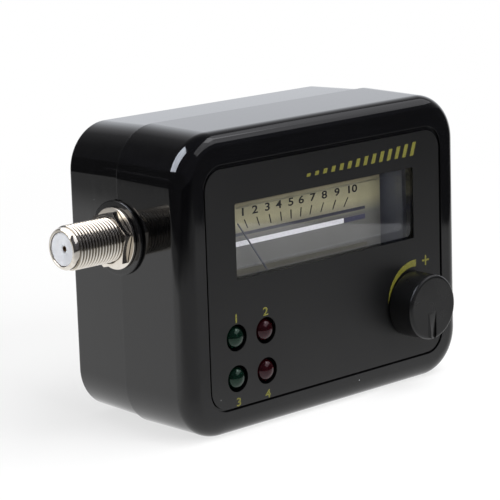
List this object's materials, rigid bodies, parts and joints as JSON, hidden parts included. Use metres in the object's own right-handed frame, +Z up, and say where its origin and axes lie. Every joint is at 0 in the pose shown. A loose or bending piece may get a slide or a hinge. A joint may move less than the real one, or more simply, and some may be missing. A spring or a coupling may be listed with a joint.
{
  "type": "satellite signal meter",
  "caption": "Handheld signal meter: two-part moulded case with a windowed moving-coil scale, indicator lamps, a level knob and a threaded coaxial port on each side.",
  "frame": {"origin": "middle of the object's footprint, on the surface that it stands on", "axes": "+X from the left port to the right port as seen from the front, +Y from the printed face to the back, +Z up"},
  "size_m": [0.115, 0.0442, 0.065],
  "materials": {
    "case_plastic": "glossy moulded black",
    "label_sheet": "matte charcoal print sheet",
    "clear_plastic": "clear polished",
    "frame_plastic": "satin black",
    "scale_print": "matte cream print",
    "needle_paint": "satin dark",
    "copper_wire": "enamelled copper",
    "soft_iron": "plain iron",
    "magnet": "ground magnet",
    "brass": "plain brass",
    "steel": "bright steel",
    "spring_bronze": "bronze strip",
    "green_lamp": "tinted clear green",
    "red_lamp": "tinted clear red",
    "knob_plastic": "satin black",
    "tin_plate": "tinned",
    "nickel": "bright nickel plate",
    "white_insulator": "bluish white",
    "black_ring": "glossy black",
    "board": "green solder mask",
    "chip_plastic": "matte black",
    "capacitor_sleeve": "dark blue sleeve over aluminium",
    "ferrite": "ferrite"
  },
  "bodies": {
    "case": {"front_shell": "case_plastic", "rear_shell": "case_plastic", "front_label": "label_sheet", "meter_cover": "clear_plastic", "meter_frame": "frame_plastic", "scale_plate": "scale_print", "yoke_ring": "soft_iron", "core_magnet": "magnet", "core_spacer_lower": "brass", "core_spacer_upper": "brass", "front_bridge": "brass", "rear_bridge": "brass", "front_jewel_screw": "steel", "rear_jewel_screw": "steel", "front_hairspring": "spring_bronze", "rear_hairspring": "spring_bronze", "lamp_green_upper": "green_lamp", "lamp_green_lower": "green_lamp", "lamp_red_upper": "red_lamp", "lamp_red_lower": "red_lamp", "control_body": "tin_plate", "port_body_left": "nickel", "port_insulator_left": "white_insulator", "port_contact_left": "brass", "port_ring_left": "black_ring", "port_washer_left": "nickel", "port_nut_left": "nickel", "port_body_right": "nickel", "port_insulator_right": "white_insulator", "port_contact_right": "brass", "port_ring_right": "black_ring", "port_washer_right": "nickel", "port_nut_right": "nickel", "circuit_board": "board", "shield_can": "tin_plate", "buzzer": "chip_plastic", "chip_1": "chip_plastic", "chip_2": "chip_plastic", "capacitor_1": "capacitor_sleeve", "capacitor_2": "capacitor_sleeve", "choke_left": "ferrite", "choke_right": "ferrite", "case_screw_1": "steel", "case_screw_2": "steel", "case_screw_3": "steel", "case_screw_4": "steel", "meter_screw_left": "steel", "meter_screw_right": "steel", "plate_screw_left": "steel", "plate_screw_right": "steel", "board_screw_left": "steel", "board_screw_right": "steel"},
    "control": {"knob": "knob_plastic", "control_shaft": "steel"},
    "movement": {"needle": "needle_paint", "moving_coil": "copper_wire"}
  },
  "joints": [
    {"name": "knob_turn", "type": "hinge", "parent": "case", "child": "control", "pos_m": [0.0255, -0.02177, 0.01855], "axis": [0, 1, 0], "range_deg": [0, 300]},
    {"name": "needle_swing", "type": "hinge", "parent": "case", "child": "movement", "pos_m": [0, -0.00677, 0.0164], "axis": [0, 1, 0], "range_deg": [0, 72], "stiffness_Nm_per_rad": 0.00005}
  ]
}
